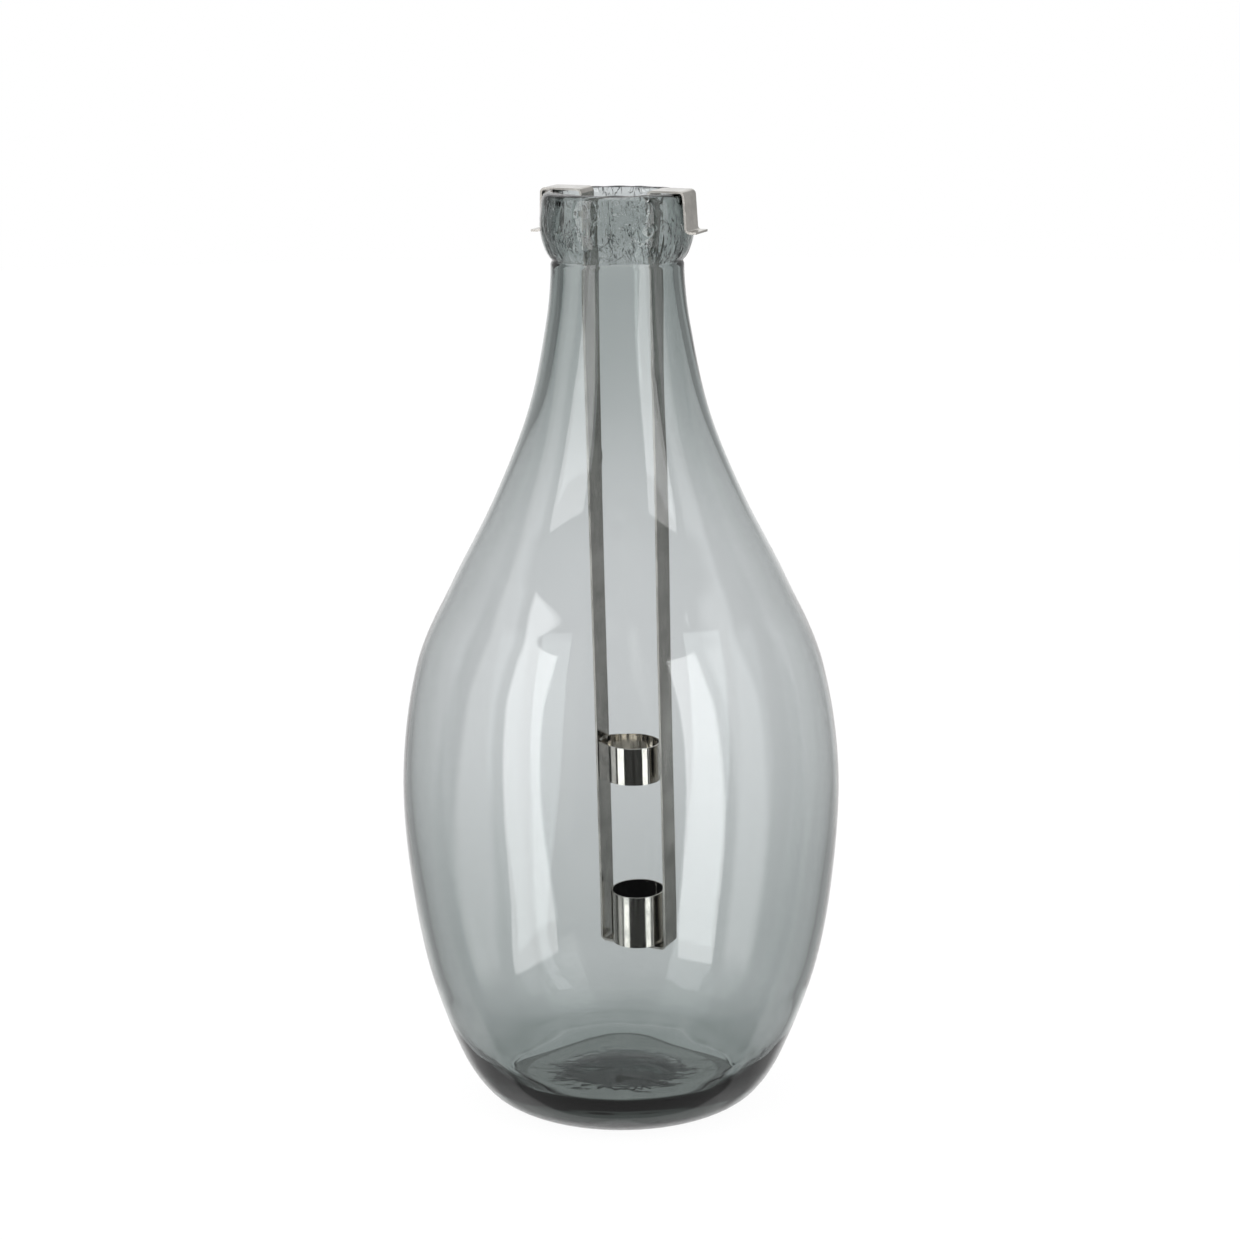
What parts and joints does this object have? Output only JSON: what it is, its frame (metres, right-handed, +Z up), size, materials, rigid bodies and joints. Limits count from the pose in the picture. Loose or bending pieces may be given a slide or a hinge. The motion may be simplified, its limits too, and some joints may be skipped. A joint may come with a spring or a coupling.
{
  "type": "bottle candle holder",
  "caption": "Smoke-grey blown glass bottle with a lift-out polished metal strip whose ring and cup hold a dinner candle inside it.",
  "frame": {"origin": "centre of the bottle's foot, on the surface it stands on", "axes": "+Z up the bottle's axis, X across the mouth along the hanger strip"},
  "size_m": [0.205, 0.205, 0.4319],
  "materials": {
    "smoke_glass": "clear hand-blown, smoke grey",
    "polished_metal": "polished nickel"
  },
  "bodies": {
    "bottle": {"glass_bottle": "smoke_glass"},
    "insert": {"hanger_strip": "polished_metal", "guide_ring": "polished_metal", "cup_wall": "polished_metal", "cup_floor": "polished_metal"}
  },
  "joints": [
    {"name": "insert_lift", "type": "slide", "parent": "bottle", "child": "insert", "axis": [0, -0.0436, 0.999], "range_m": [0, 0.38]}
  ]
}
